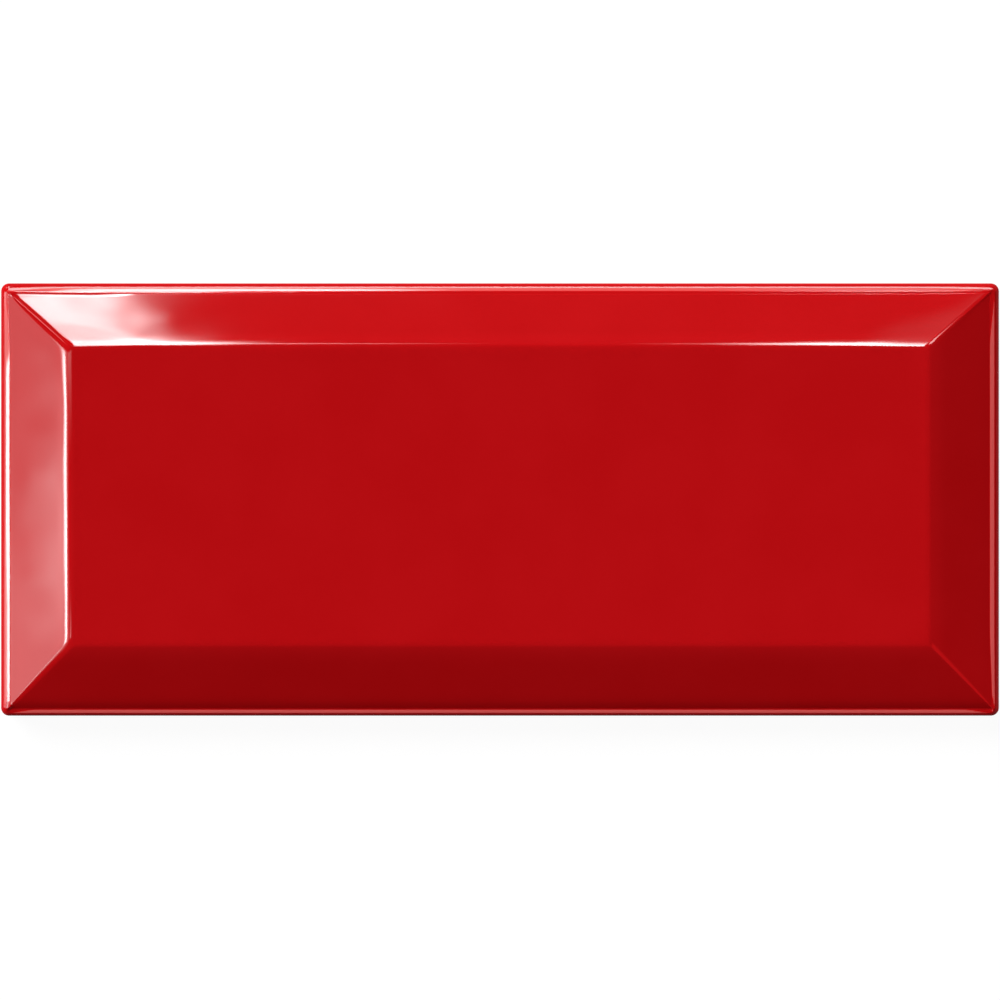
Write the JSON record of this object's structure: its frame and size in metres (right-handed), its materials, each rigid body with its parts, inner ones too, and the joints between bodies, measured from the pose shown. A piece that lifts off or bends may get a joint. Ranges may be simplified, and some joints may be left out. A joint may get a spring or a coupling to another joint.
{
  "type": "subway wall tile",
  "caption": "Long rectangular wall tile with a flat raised field, mitred bevels falling to a rounded lip, red gloss glaze, and keying grooves in its back for tile adhesive.",
  "frame": {"origin": "centre of the back, in the plane that the tile lies on", "axes": "+X along the length, +Y up the tile as it is hung in a horizontal course, +Z out of the glazed face"},
  "size_m": [0.15, 0.065, 0.008],
  "materials": {
    "glaze": "red gloss glaze on the face and down the edges; the back is bare off-white biscuit"
  },
  "bodies": {
    "root": {"tile": "glaze"}
  },
  "joints": []
}
